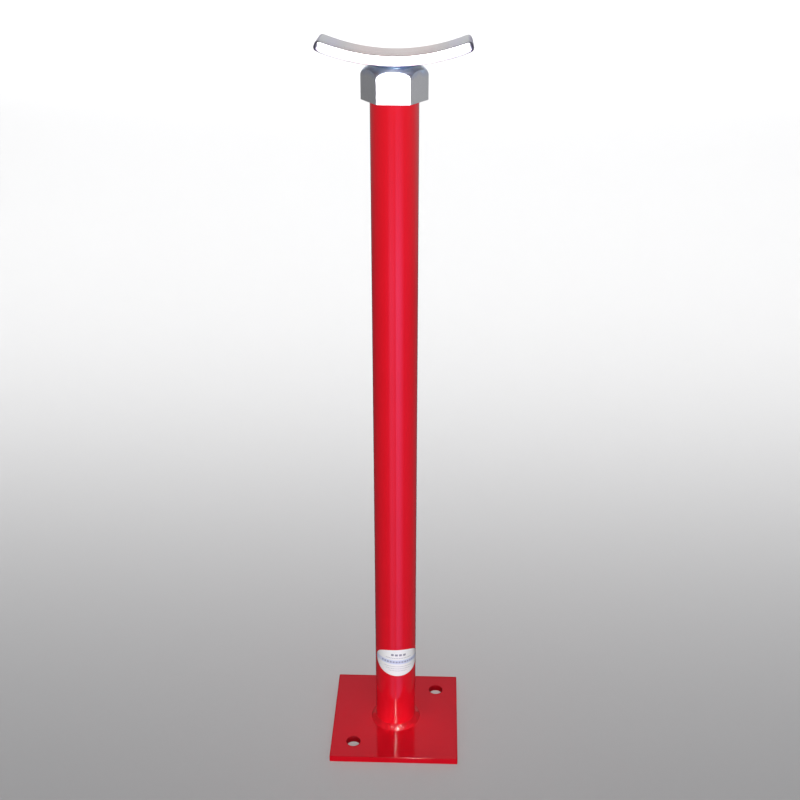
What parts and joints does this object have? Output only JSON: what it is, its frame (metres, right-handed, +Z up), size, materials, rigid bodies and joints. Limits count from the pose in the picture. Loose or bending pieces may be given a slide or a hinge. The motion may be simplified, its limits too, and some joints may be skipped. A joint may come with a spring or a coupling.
{
  "type": "adjustable pipe support stand",
  "caption": "Painted steel pipe post on a square foot plate, with a curved saddle raised and lowered by a large hex nut on a threaded rod.",
  "frame": {"origin": "on the ground, at the middle of the foot plate's underside, on the post's axis", "axes": "+Z up along the post; +X along the saddle's length, from tip to tip; -Y is the side that carries the label"},
  "size_m": [0.1524, 0.1524, 0.8212],
  "materials": {
    "red_paint": "gloss red paint over steel plate, pipe and weld",
    "zinc_plate": "bright clear zinc plating on steel",
    "label": null
  },
  "bodies": {
    "stand": {"base_plate": "red_paint", "post_tube": "red_paint", "base_weld": "red_paint", "label": "label"},
    "nut": {"adjusting_nut": "zinc_plate"},
    "head": {"lifting_screw": "zinc_plate", "saddle": "zinc_plate", "saddle_weld": "zinc_plate"}
  },
  "joints": [
    {"name": "saddle_lift", "type": "slide", "parent": "stand", "child": "head", "axis": [0, 0, 1], "range_m": [0, 0.1524]},
    {"name": "nut_turn", "type": "hinge", "parent": "stand", "child": "nut", "pos_m": [0, 0, 0.76359], "axis": [0, 0, -1], "range_deg": [0, 12960]}
  ],
  "couplings": [
    {"joint": "nut_turn", "follows": "saddle_lift", "rad_per_m": 1484.2}
  ]
}
